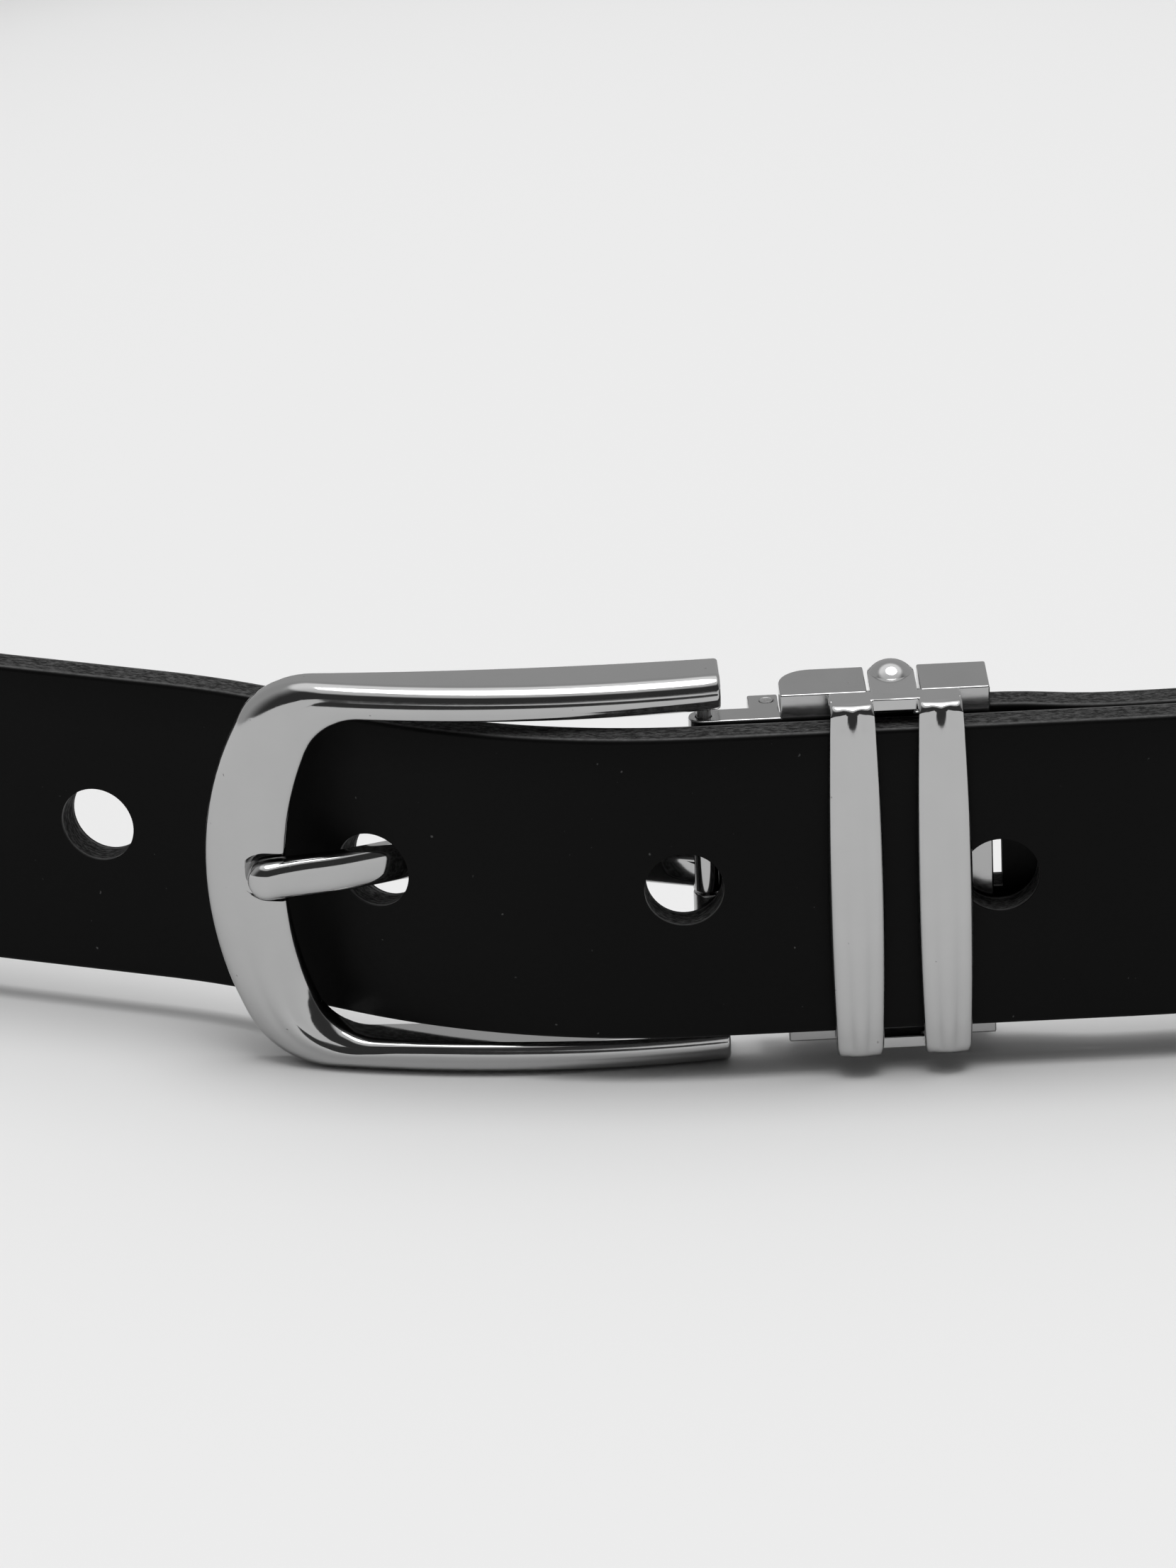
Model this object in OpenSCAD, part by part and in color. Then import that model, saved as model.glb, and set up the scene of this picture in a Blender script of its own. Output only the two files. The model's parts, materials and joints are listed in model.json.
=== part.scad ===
// Gentlemen's dress belt, fastened, standing on its lower edge.
//
// Buckle axes, used by every module below: X runs along the strap and X = 0 is the buckle's axle,
// Y points into the loop and Y = 0 is the front face of the strap's tail, Z is up and Z = 0 is the
// middle of the strap. place() then sets the whole belt down on the ground, Z = 0, with the origin
// under the middle of its box.
//
// The strap starts in the clamp, runs once round the waist, comes back behind the bar of the frame,
// takes the prong through one of its holes and ends as the tail, in front of the clamp and through
// the keeper.

/* [Strap] */
// Width of the strap
strap_w = 30; // [24:0.5:38]
// Thickness of the grain leather outside
face_t = 1.8; // [1:0.1:2.6]
// Thickness of the lining leather inside
lining_t = 1.4; // [0.8:0.1:2.6]
// Diameter of the prong holes
hole_d = 7.2; // [5:0.1:9]
// Distance from hole to hole along the strap
hole_pitch = 29; // [20:0.5:36]
// Holes on each side of the one in use
holes_each_side = 2; // [1:1:3]
// Length of the tail beyond its last hole
tail_end = 92; // [60:1:150]
// Length of the pointed end of the tail
tip_len = 24; // [14:1:40]
// Height of the slot near the clamped end
slot_h = 6.4; // [3:0.2:10]
// Length of the slot near the clamped end
slot_len = 4.2; // [2:0.2:8]

/* [Loop] */
// Radius of the loop at the front, beside the buckle
front_r = 170; // [130:5:240]
// Radius of the loop at the two sides
side_r = 98; // [80:1:140]
// Radius of the loop at the back
back_r = 200; // [150:5:280]
// Turn of the front and back curves on each side of their middle
wide_turn = 35; // [28:1:42]
// Straight length at the left side of the loop
side_flat = 92; // [0:1:120]
// Angle at which the strap comes to the frame
approach = 22; // [15:1:30]
// Angle at which the strap climbs over the prong
climb = 33; // [28:1:38]

/* [Buckle frame] */
// Outer height of the frame
frame_h = 38.6; // [32:0.2:50]
// Outer length of the frame, from its round end to the ends of its legs
frame_len = 47.8; // [40:0.2:60]
// Width of the bar at the round end
bar_w = 7.4; // [5:0.1:10]
// Height of each leg
leg_h = 3.2; // [2.4:0.1:5]
// Depth of the frame, front to back, where it is deepest
frame_d = 6; // [5:0.1:7]
// Distance from the axle to the ends of the legs
leg_past = 1.6; // [1.4:0.1:4]
// Radius of the frame's front, seen from above
frame_front_r = 90; // [70:5:150]
// Radius of the frame's back, seen from above
frame_back_r = 260; // [180:5:400]
// Radius of the frame's outer corners
frame_corner = 8; // [5:0.5:10]
// Radius of the corners of its opening
opening_corner = 5.6; // [3:0.2:8]
// Radius of the bow of the frame's round end
end_bow_r = 34; // [28:1:60]

/* [Prong] */
// Height of the prong
prong_w = 3.8; // [3:0.1:4.6]
// Thickness of the prong
prong_t = 2.1; // [1.6:0.1:2.4]
// Length of the prong from its axle to the start of its bend
prong_shank = 18; // [12:0.5:20]
// Length of the straight end that lies on the bar
prong_lie = 4.4; // [3:0.1:6]

/* [Axle] */
// Diameter of the axle that carries the frame and the prong
axle_d = 1.4; // [1:0.1:1.8]
// Wall of a knuckle round the axle
knuckle_wall = 0.7; // [0.5:0.1:1]
// Depth to which the axle enters each leg
axle_seat = 1.8; // [1:0.1:2.2]

/* [Clamp] */
// Length of the clamp along the strap
clamp_len = 19.2; // [14:0.1:26]
// Height of the clamp's upper and lower walls
wall_h = 2.1; // [1.4:0.1:3]
// Thickness of the clamp's front plate
web_t = 1; // [0.8:0.1:1.6]
// Distance from the axle to the clamp
clamp_x = 7; // [6.2:0.1:9]
// Thickness of the jaw's plate
jaw_t = 0.9; // [0.7:0.1:1.5]
// Height of the jaw's teeth
tooth_h = 0.3; // [0.1:0.05:0.4]
// Number of the jaw's rows of teeth
tooth_count = 4; // [2:1:6]
// Diameter of the jaw's pin
jaw_pin_d = 1.2; // [0.8:0.1:1.4]
// Length of the jaw's knuckle
jaw_knuckle_len = 18; // [10:1:22]

/* [Keeper] */
// Width of the keeper along the strap
keeper_w = 13.2; // [11:0.1:17]
// Greatest width of each of its two bars
keeper_bar_w = 5.1; // [4:0.1:6]
// Radius of the long curved sides of its bars
keeper_bar_r = 300; // [250:10:900]
// Depth of the bars, front to back
keeper_bar_d = 1.9; // [1.4:0.1:3]
// Height of the keeper's top and bottom plates
keeper_plate_h = 1.2; // [0.8:0.1:1.6]
// Length of the plates, front to back, that joins the two bars
keeper_bridge = 2; // [1.2:0.1:2.6]
// Distance from the clamp's left end to the keeper
keeper_inset = 3.8; // [3:0.1:5]
// Width of the tab that holds the keeper on the clamp
tab_w = 4.3; // [3.4:0.1:5]
// Length of the tab
tab_len = 6.9; // [6:0.1:8]
// Diameter of the rivets' shanks
rivet_d = 1.2; // [0.8:0.1:1.6]
// Diameter of the rivets' domed heads
rivet_head_d = 4.1; // [2:0.1:4.2]

/* [Fits] */
// Space kept between leather and metal
soft_gap = 0.3; // [0.2:0.05:0.5]
// Space kept between metal pieces that move past each other
metal_gap = 0.3; // [0.15:0.05:0.5]
// Space between the prong's tip and the hollow in the bar
prong_rest_gap = 0.15; // [0.1:0.05:0.4]
// Radial clearance of a pin that turns in its hole
running_fit = 0.05; // [0.02:0.01:0.09]

/* [Hidden] */
$fn = 128;
// How far a cut runs past the surface that it opens
past = 1;
// Turn from one point of a curved run to the next
arc_step = 2.5;
// Height of a cut that passes through the whole belt
through = 200;
// Facets of the frame's curves and of the keeper's long sides
fine_fn = 360;
finest_fn = 720;

strap_t = face_t + lining_t;

// Hinge of the frame and prong: the block stands a little above and below the strap
block_over = 0.2;
knuckle_r = axle_d / 2 + knuckle_wall;
block_front = strap_t + soft_gap;
axle_y = block_front + knuckle_r;
block_h = strap_w + 2 * block_over;
block_x = 4.2;

// Clamp, from front to back: front plate, strap, jaw
wall_z = strap_w / 2 + soft_gap;
clamp_top = wall_z + wall_h;
held_front = block_front + web_t + soft_gap;
jaw_front = held_front + strap_t + soft_gap + tooth_h;
clamp_back = jaw_front + jaw_t;
clamp_end = clamp_x + clamp_len;
clamp_corner = 3;
// Space left in the clamp past the end of the strap
clamp_stop = 0.7;

// Jaw: its knuckle overlaps its plate and reaches a little into the clamp
jaw_knuckle_r = jaw_pin_d / 2 + knuckle_wall;
jaw_knuckle_in = 0.2;
jaw_knuckle_sunk = 0.5;
jaw_pin_x = clamp_x - jaw_knuckle_r + jaw_knuckle_in;
jaw_pin_y = clamp_back - jaw_t - jaw_knuckle_r + jaw_knuckle_sunk;
jaw_inset = 1;
jaw_side_x = clamp_x + jaw_inset;
jaw_z = wall_z - metal_gap;

// Frame, seen from above as a crescent, nearest to the front at apex_x
apex_x = -10.8;
frame_cover = 0.9;
frame_front = axle_y - knuckle_r - frame_cover;
frame_left = leg_past - frame_len;
opening_left = frame_left + bar_w;
opening_h = frame_h - 2 * leg_h;

// Keeper
keeper_x = clamp_x + keeper_inset;
keeper_back = block_front - metal_gap;
keeper_proud = 0.1;
keeper_top = clamp_top + keeper_proud;
keeper_mid = keeper_x + keeper_w / 2;
keeper_front = -soft_gap - keeper_bar_d;
tab_end = keeper_back + tab_len;
rivet_y = tab_end - tab_w / 2;
rivet_dome = 0.25;
tongue_z = keeper_top - keeper_plate_h;

// The bars are widest just below their middle, and the plates are as wide as the bars at the top
widest_share = 0.03;
keeper_bar_low = -strap_w * widest_share;
plate_inset = keeper_bar_r - sqrt(pow(keeper_bar_r, 2) - pow(keeper_top - keeper_bar_low, 2));

// A run of the strap or the prong is a list of [length, turn to the left]. A place on it is
// [x, y, heading].
function radius(seg) = seg[0] * 180 / (PI * abs(seg[1]));
function arc(r, turn) = [r * abs(turn) * PI / 180, turn];
function ahead(p, seg) = seg[1] == 0
    ? [p[0] + seg[0] * cos(p[2]), p[1] + seg[0] * sin(p[2]), p[2]]
    : let (r = radius(seg) * sign(seg[1]), h = p[2] + seg[1])
      [p[0] + r * (sin(h) - sin(p[2])), p[1] + r * (cos(p[2]) - cos(h)), h];
function part_of(seg, len) = [len, seg[1] * len / seg[0]];
function at(p, segs, len, i = 0) = i >= len(segs)
    ? ahead(p, [len, 0])
    : len <= segs[i][0]
        ? ahead(p, part_of(segs[i], len))
        : at(ahead(p, segs[i]), segs, len - segs[i][0], i + 1);
function total(segs, i = 0) = i >= len(segs) ? 0 : segs[i][0] + total(segs, i + 1);
function finish(p, segs) = at(p, segs, total(segs));
function shortened(segs, len, i = 0) = i >= len(segs) || len <= 0
    ? []
    : concat([part_of(segs[i], min(len, segs[i][0]))], shortened(segs, len - segs[i][0], i + 1));
function places(p, segs, i = 0) = i >= len(segs)
    ? [p]
    : let (n = max(1, ceil(abs(segs[i][1]) / arc_step)))
      concat(
          [for (k = [0 : n - 1]) ahead(p, part_of(segs[i], segs[i][0] * k / n))],
          places(ahead(p, segs[i]), segs, i + 1)
      );
function beside(p, by) = [p[0] - by * sin(p[2]), p[1] + by * cos(p[2])];
function widened(segs, by) = [for (s = segs) [s[0] + by * s[1] * PI / 180, s[1]]];

// Points on an arc from one direction to another, with some left out at each end
function on_arc(c, r, low, high, skip = 0) =
    let (n = ceil(abs(high - low) / arc_step))
    [for (k = [skip : n - skip]) let (a = low + (high - low) * k / n) c + r * [cos(a), sin(a)]];

// The strap's middle line is led back from the tail, past the prong, to the left side of the loop
crest_r = 60;
climb_r = crest_r - strap_t / 2;
behind_bar = 14;
crest_flat = 8;
// Turn from the hole in use to the start of the tail
hole_turn = 30;
climb_end = [-0.8, strap_t / 2];
over_prong = [[behind_bar, 0], arc(crest_r, approach - climb), [crest_flat, 0], arc(climb_r, climb)];
over_prong_move = finish([0, 0, -approach], over_prong);
left_x = climb_end[0] - over_prong_move[0];
left_y = climb_end[1] - over_prong_move[1];

// From the clamp the strap closes up to the tail, in a shallow S
clamped_y = held_front + strap_t / 2;
joined_y = strap_t + soft_gap + strap_t / 2;
settle_r = 25;
settle_turn = acos(1 - (clamped_y - joined_y) / (2 * settle_r));
clamped = [clamp_len - clamp_stop, 0];
settle = [arc(settle_r, -settle_turn), arc(settle_r, settle_turn)];
strap_start = [clamp_end - clamped[0], clamped_y, 0];
// How far the slot shows past the clamp's end
slot_past = 1;
front_right = finish(strap_start, concat([clamped], settle));

// Once round the waist: two straights are worked out so that the loop closes
narrow_turn = 90 - wide_turn;
right_front = [arc(front_r, wide_turn), arc(side_r, narrow_turn)];
right_back = [arc(side_r, narrow_turn), arc(back_r, wide_turn)];
left_back = [arc(back_r, wide_turn), arc(side_r, narrow_turn), [side_flat, 0]];
left_front = [arc(side_r, narrow_turn), arc(front_r, wide_turn - approach)];
bends = finish(front_right, concat(right_front, right_back, left_back, left_front));
right_flat = left_y - bends[1];
back_flat = bends[0] - left_x;
around = concat(right_front, [[right_flat, 0]], right_back, [[back_flat, 0]], left_back, left_front);
loop = concat([clamped], settle, around, over_prong);

// Holes and tail, counted along the strap from the hole in use
used_hole = total(loop) - arc(climb_r, hole_turn)[0];
tail_len = used_hole + holes_each_side * hole_pitch + tail_end - total(loop);
tail_straight = [front_right[0] - climb_end[0], 0];
tail = shortened(concat([tail_straight], widened(around, strap_t + soft_gap)), tail_len);
strap = concat(loop, tail);
tip = finish(strap_start, strap);

// The prong's middle line, from its knuckle to its tip
prong_rise = 20;
prong_dive = 20;
prong_level = 12;
prong_bend_r = 13;
prong_slope = 7.5;
prong_level_r = 16;
prong_run = [
    [prong_shank, 0],
    arc(prong_bend_r, prong_rise + prong_dive),
    [prong_slope, 0],
    arc(prong_level_r, -prong_level),
    [prong_lie, 0]
];
prong_start = [0, axle_y, 180 - prong_rise];
prong_end = finish(prong_start, prong_run);

// Resting place: the frame's lower edge and the back of the strap both touch the ground
right_x = finish(front_right, right_front)[0] + strap_t / 2;
far_left_x = left_x - finish([0, 0, 270], left_front)[0] - strap_t / 2;
back_y = finish(front_right, concat(right_front, [[right_flat, 0]], right_back))[1] + strap_t / 2;
frame_back = frame_front + frame_d;
contact_y = frame_back + pow(opening_left - apex_x, 2) / (2 * frame_back_r);
rest_tilt = atan((frame_h - strap_w) / 2 / (back_y - contact_y));
lift = strap_w / 2 * cos(rest_tilt) + back_y * sin(rest_tilt);
near_y = keeper_front * cos(rest_tilt) - keeper_top * sin(rest_tilt);
far_y = back_y * cos(rest_tilt) + strap_w / 2 * sin(rest_tilt);

module place()
{
    translate([-(right_x + far_left_x) / 2, -(near_y + far_y) / 2, lift])
        rotate([-rest_tilt, 0, 0])
            children();
}

// A run of the strap or the prong, h high, between lo and hi on the left of its middle line
module run(p, segs, lo, hi, h)
{
    line = places(p, segs);
    last = len(line) - 1;
    linear_extrude(h, center = true)
        polygon(concat(
            [for (q = line) beside(q, lo)],
            [for (i = [0 : last]) beside(line[last - i], hi)]
        ));
}

// A drill or cutter set square to the strap at a distance along it
module square_to_strap(len)
{
    q = at(strap_start, strap, len);
    translate([q[0], q[1], 0])
        rotate(q[2])
            rotate([90, 0, 0])
                children();
}

module tip_outline()
{
    r = (tip_len * tip_len + strap_w * strap_w / 4) / strap_w;
    intersection_for (s = [-1, 1])
        translate([-tip_len, s * (r - strap_w / 2)])
            circle(r);
}

// Both corners of the tail's end, kept clear of the strap that lies behind it
module tip_cutter()
{
    half = strap_t / 2 + soft_gap / 2;
    intersection() {
        run([climb_end[0], climb_end[1], 0], concat(tail, [[2 * past, 0]]), -half, half, 2 * strap_w);
        square_to_strap(total(strap))
            linear_extrude(strap_w, center = true)
                difference() {
                    translate([-tip_len, -strap_w])
                        square([tip_len + past, 2 * strap_w]);
                    tip_outline();
                }
    }
}

module slot_cutter()
{
    half = strap_t / 2 + soft_gap / 2;
    box([-slot_len, -slot_h / 2, -half], [0, slot_h / 2, half]);
}

module strap_cuts()
{
    for (i = [-holes_each_side : holes_each_side])
        square_to_strap(used_hole + i * hole_pitch)
            cylinder(d = hole_d, h = strap_t + soft_gap, center = true);
    tip_cutter();
    square_to_strap(clamped[0] + slot_past)
        slot_cutter();
}

module strap_ply(lo, hi)
{
    place()
        difference() {
            run(strap_start, strap, lo, hi, strap_w);
            strap_cuts();
        }
}

module strap_face()
{
    color([0.03, 0.03, 0.03])
        strap_ply(-strap_t / 2, -strap_t / 2 + face_t);
}

module strap_lining()
{
    color([0.09, 0.09, 0.09])
        strap_ply(-strap_t / 2 + face_t, strap_t / 2);
}

// Front view of the frame, filled: a bowed left end that runs smoothly into corners of radius r
module bowed_box(left, right, h, r)
{
    bow_x = left + end_bow_r;
    corner_z = h / 2 - r;
    corner_x = bow_x - sqrt(pow(end_bow_r - r, 2) - pow(corner_z, 2));
    meet = atan2(corner_z, corner_x - bow_x);
    polygon(concat(
        [[right, -h / 2], [right, h / 2]],
        on_arc([corner_x, corner_z], r, 90, meet),
        on_arc([bow_x, 0], end_bow_r, meet, 360 - meet, 1),
        on_arc([corner_x, -corner_z], r, 360 - meet, 270)
    ));
}

module upright(depth)
{
    rotate([90, 0, 0])
        linear_extrude(depth, center = true)
            children();
}

module crescent()
{
    difference() {
        translate([apex_x, frame_front + frame_front_r, 0])
            cylinder(r = frame_front_r, h = through, center = true, $fn = fine_fn);
        translate([apex_x, frame_back + frame_back_r, 0])
            cylinder(r = frame_back_r, h = through, center = true, $fn = fine_fn);
    }
}

module buckle_frame()
{
    color([0.78, 0.78, 0.8])
        place()
            difference() {
                intersection() {
                    upright(through)
                        difference() {
                            bowed_box(frame_left, leg_past, frame_h, frame_corner);
                            bowed_box(opening_left, leg_past + past, opening_h, opening_corner);
                        }
                    crescent();
                }
                translate([0, axle_y, 0])
                    cylinder(d = axle_d, h = opening_h + 2 * axle_seat, center = true);
                prong_rest();
            }
}

// Cuts the hollow in the bar in which the prong's tip lies
module prong_rest()
{
    back = prong_t / 2 + prong_rest_gap;
    r = prong_w / 2 + metal_gap;
    translate([prong_end[0], prong_end[1], 0])
        rotate(prong_end[2])
            translate([0, bar_w, 0])
                rotate([90, 0, 0])
                    linear_extrude(bar_w + back) {
                        circle(r);
                        translate([-bar_w, -r])
                            square([bar_w, 2 * r]);
                    }
}

module prong()
{
    color([0.78, 0.78, 0.8])
        place()
            difference() {
                union() {
                    run(prong_start, prong_run, -prong_t / 2, prong_t / 2, prong_w);
                    translate([prong_end[0], prong_end[1], 0])
                        rotate(prong_end[2])
                            upright(prong_t)
                                circle(d = prong_w);
                    translate([0, axle_y, 0])
                        cylinder(r = knuckle_r, h = prong_w, center = true);
                }
                axle_bore();
            }
}

module axle_bore()
{
    translate([0, axle_y, 0])
        cylinder(r = axle_d / 2 + running_fit, h = through, center = true);
}

module axle_pin()
{
    color([0.6, 0.6, 0.62])
        place()
            translate([0, axle_y, 0])
                cylinder(d = axle_d, h = opening_h + 2 * axle_seat, center = true);
}

// Mirrors its children to the lower side of the buckle as well
module both_sides()
{
    children();
    mirror([0, 0, 1])
        children();
}

module box(low, high)
{
    translate(low)
        cube(high - low);
}

module clamp_wall()
{
    translate([0, 0, wall_z])
        linear_extrude(wall_h)
            difference() {
                union() {
                    translate([clamp_x, block_front])
                        square([clamp_len, clamp_back - clamp_corner - block_front]);
                    translate([clamp_x + clamp_corner, block_front])
                        square([clamp_len - clamp_corner, clamp_back - block_front]);
                    translate([clamp_x + clamp_corner, clamp_back - clamp_corner])
                        circle(clamp_corner);
                }
                translate([keeper_mid - tab_w / 2 - metal_gap, block_front - past])
                    square([tab_w + 2 * metal_gap, clamp_back]);
            }
}

// Ledge under the keeper's tab, a little narrower than the tab
module tongue()
{
    half = tab_w / 2 - metal_gap;
    box([keeper_mid - half, block_front, wall_z - past], [keeper_mid + half, block_front + web_t, tongue_z]);
    box([keeper_mid - half, block_front, wall_z], [keeper_mid + half, clamp_back, tongue_z]);
}

module clamp_web()
{
    difference() {
        box([clamp_x, block_front, -clamp_top], [clamp_end, block_front + web_t, clamp_top]);
        both_sides()
            translate([keeper_mid - tab_w / 2 - metal_gap, block_front - past, tongue_z - keeper_plate_h])
                cube([tab_w + 2 * metal_gap, web_t + 2 * past, wall_h + keeper_plate_h]);
    }
}

module hinge_block()
{
    half = block_h / 2;
    difference() {
        union() {
            translate([0, axle_y, 0])
                cylinder(r = knuckle_r, h = block_h, center = true);
            box([0, block_front, -half], [clamp_x, axle_y + knuckle_r, half]);
            box([block_x, block_front, -half], [clamp_x, clamp_back - metal_gap, half]);
        }
        box([-knuckle_r - past, block_front - past, -prong_w / 2 - metal_gap],
            [knuckle_r + metal_gap, clamp_back, prong_w / 2 + metal_gap]);
        box([block_x - past, jaw_pin_y - jaw_knuckle_r - metal_gap, -jaw_knuckle_len / 2 - metal_gap],
            [clamp_x + past, clamp_back + past, jaw_knuckle_len / 2 + metal_gap]);
    }
}

module clamp_base()
{
    color([0.7, 0.7, 0.72])
        place()
            difference() {
                union() {
                    hinge_block();
                    clamp_web();
                    both_sides() {
                        clamp_wall();
                        tongue();
                    }
                }
                axle_bore();
                translate([jaw_pin_x, jaw_pin_y, 0])
                    cylinder(d = jaw_pin_d, h = block_h + past, center = true);
                rivet_holes();
            }
}

module rivet_holes()
{
    translate([keeper_mid, rivet_y, 0])
        both_sides()
            translate([0, 0, wall_z - past])
                cylinder(d = rivet_d, h = wall_h + 2 * past);
}

module jaw_tooth()
{
    linear_extrude(2 * jaw_z - 4 * jaw_t, center = true)
        polygon([[-tooth_h, 0], [0, -tooth_h], [tooth_h, 0]]);
}

module clamp_jaw()
{
    half = jaw_knuckle_len / 2;
    plate_end = clamp_end - metal_gap;
    pitch = (plate_end - jaw_side_x) / (tooth_count + 1);
    color([0.62, 0.62, 0.64])
        place()
            difference() {
                union() {
                    box([jaw_side_x, jaw_front, -jaw_z], [plate_end, clamp_back, jaw_z]);
                    box([jaw_pin_x, jaw_front, -half], [jaw_side_x + past, clamp_back, half]);
                    translate([jaw_pin_x, jaw_pin_y, 0])
                        cylinder(r = jaw_knuckle_r, h = jaw_knuckle_len, center = true);
                    for (i = [1 : tooth_count])
                        translate([jaw_side_x + i * pitch, jaw_front, 0])
                            jaw_tooth();
                }
                translate([jaw_pin_x, jaw_pin_y, 0])
                    cylinder(r = jaw_pin_d / 2 + running_fit, h = through, center = true);
            }
}

module jaw_pin()
{
    color([0.6, 0.6, 0.62])
        place()
            translate([jaw_pin_x, jaw_pin_y, 0])
                cylinder(d = jaw_pin_d, h = block_h, center = true);
}

// One bar of the keeper, bent back over the strap at its top and bottom
module keeper_bar(x)
{
    side = keeper_bar_r - keeper_bar_w / 2;
    difference() {
        translate([0, (keeper_front + keeper_back) / 2, 0])
            upright(keeper_back - keeper_front)
                intersection() {
                    translate([x - keeper_bar_w, -keeper_top])
                        square([2 * keeper_bar_w, 2 * keeper_top]);
                    translate([x + side, keeper_bar_low])
                        circle(keeper_bar_r, $fn = finest_fn);
                    translate([x - side, keeper_bar_low])
                        circle(keeper_bar_r, $fn = finest_fn);
                }
        box([x - keeper_bar_w, -soft_gap, -tongue_z], [x + keeper_bar_w, keeper_back + past, tongue_z]);
    }
}

module keeper_plate()
{
    box([keeper_x + plate_inset, keeper_back - keeper_bridge, tongue_z],
        [keeper_x + keeper_w - plate_inset, keeper_back, keeper_top]);
    box([keeper_mid - tab_w / 2, keeper_back - keeper_bridge, tongue_z],
        [keeper_mid + tab_w / 2, rivet_y, keeper_top]);
    translate([keeper_mid, rivet_y, tongue_z])
        cylinder(d = tab_w, h = keeper_plate_h);
}

module keeper()
{
    color([0.8, 0.8, 0.82])
        place()
            difference() {
                union() {
                    keeper_bar(keeper_x + keeper_bar_w / 2);
                    keeper_bar(keeper_x + keeper_w - keeper_bar_w / 2);
                    both_sides()
                        keeper_plate();
                }
                rivet_holes();
            }
}

// Shank through the tab and its ledge, under a domed head
module rivet()
{
    rise = rivet_head_d * rivet_dome;
    r = (rivet_head_d * rivet_head_d / 4 + rise * rise) / (2 * rise);
    translate([keeper_mid, rivet_y, 0]) {
        translate([0, 0, wall_z])
            cylinder(d = rivet_d, h = keeper_top - wall_z + rise / 2);
        intersection() {
            translate([0, 0, keeper_top + rise - r])
                sphere(r);
            translate([0, 0, keeper_top])
                cylinder(d = 2 * rivet_head_d, h = rivet_head_d);
        }
    }
}

module keeper_rivet_top()
{
    color([0.8, 0.8, 0.82])
        place()
            rivet();
}

module keeper_rivet_bottom()
{
    color([0.8, 0.8, 0.82])
        place()
            mirror([0, 0, 1])
                rivet();
}

strap_face();
strap_lining();
buckle_frame();
prong();
axle_pin();
clamp_base();
clamp_jaw();
jaw_pin();
keeper();
keeper_rivet_top();
keeper_rivet_bottom();
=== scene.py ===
"""Dress belt, fastened in its clamp buckle and standing on its lower edge.

Every piece is modelled in the buckle's own axes: X runs along the strap and X = 0 is the buckle's
axle, Y points into the loop and Y = 0 is the front face of the strap's tail, Z is up and Z = 0 is
the middle of the strap. Sizes are in metres.
"""
import json
import math

import bmesh
import bpy
from mathutils import Matrix, Vector

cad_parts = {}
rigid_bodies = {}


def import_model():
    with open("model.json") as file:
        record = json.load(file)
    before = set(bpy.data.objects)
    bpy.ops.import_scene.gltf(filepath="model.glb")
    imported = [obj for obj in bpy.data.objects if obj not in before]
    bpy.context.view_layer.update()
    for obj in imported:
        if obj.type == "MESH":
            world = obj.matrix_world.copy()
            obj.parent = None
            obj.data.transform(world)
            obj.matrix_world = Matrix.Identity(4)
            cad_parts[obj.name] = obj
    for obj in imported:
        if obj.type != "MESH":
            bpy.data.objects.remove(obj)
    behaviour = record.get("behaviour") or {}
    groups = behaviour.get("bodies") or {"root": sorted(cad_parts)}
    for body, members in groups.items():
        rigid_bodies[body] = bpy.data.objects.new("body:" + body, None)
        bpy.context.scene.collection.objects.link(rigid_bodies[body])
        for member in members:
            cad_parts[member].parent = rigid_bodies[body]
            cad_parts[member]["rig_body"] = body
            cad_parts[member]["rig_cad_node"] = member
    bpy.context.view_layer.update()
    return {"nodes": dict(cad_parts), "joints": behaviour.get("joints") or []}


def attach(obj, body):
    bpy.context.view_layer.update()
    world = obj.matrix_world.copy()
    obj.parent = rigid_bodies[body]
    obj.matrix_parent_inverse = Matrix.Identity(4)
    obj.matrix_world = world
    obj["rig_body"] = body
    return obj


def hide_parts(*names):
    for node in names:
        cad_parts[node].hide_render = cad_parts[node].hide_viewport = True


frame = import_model()

MM = 0.001
joints = {joint["name"]: joint for joint in frame["joints"]}

# Buckle axes in the belt's frame: the hinge of the buckle's frame gives their place and their up
AXLE_Y = 4.9 * MM
hinge = joints["frame_hinge"]
UP = Vector(hinge["axis"]).normalized()
ALONG = Vector((1, 0, 0))
INWARD = UP.cross(ALONG)
ORIGIN = Vector(hinge["pos_m"]) - INWARD * AXLE_Y
BUCKLE = Matrix.Translation(ORIGIN) @ Matrix((ALONG, INWARD, UP)).transposed().to_4x4()

# Strap
STRAP_W = 30 * MM
FACE_T = 1.8 * MM
LINING_T = 1.4 * MM
STRAP_T = FACE_T + LINING_T
HOLE_D = 7.2 * MM
HOLE_PITCH = 29 * MM
HOLES_EACH_SIDE = 2
TAIL_END = 92 * MM
TIP_LEN = 24 * MM
SLOT_H = 6.4 * MM
SLOT_LEN = 4.2 * MM
SLOT_PAST = 1 * MM
SOFT_GAP = 0.3 * MM
METAL_GAP = 0.3 * MM

# Loop. Turns are in degrees
FRONT_R = 170 * MM
SIDE_R = 98 * MM
BACK_R = 200 * MM
WIDE_TURN = 35
NARROW_TURN = 90 - WIDE_TURN
SIDE_FLAT = 92 * MM
APPROACH = 22
CLIMB = 33
CREST_R = 60 * MM
BEHIND_BAR = 14 * MM
CREST_FLAT = 8 * MM
HOLE_TURN = 30
CLIMB_END_X = -0.8 * MM
SETTLE_R = 25 * MM

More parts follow.
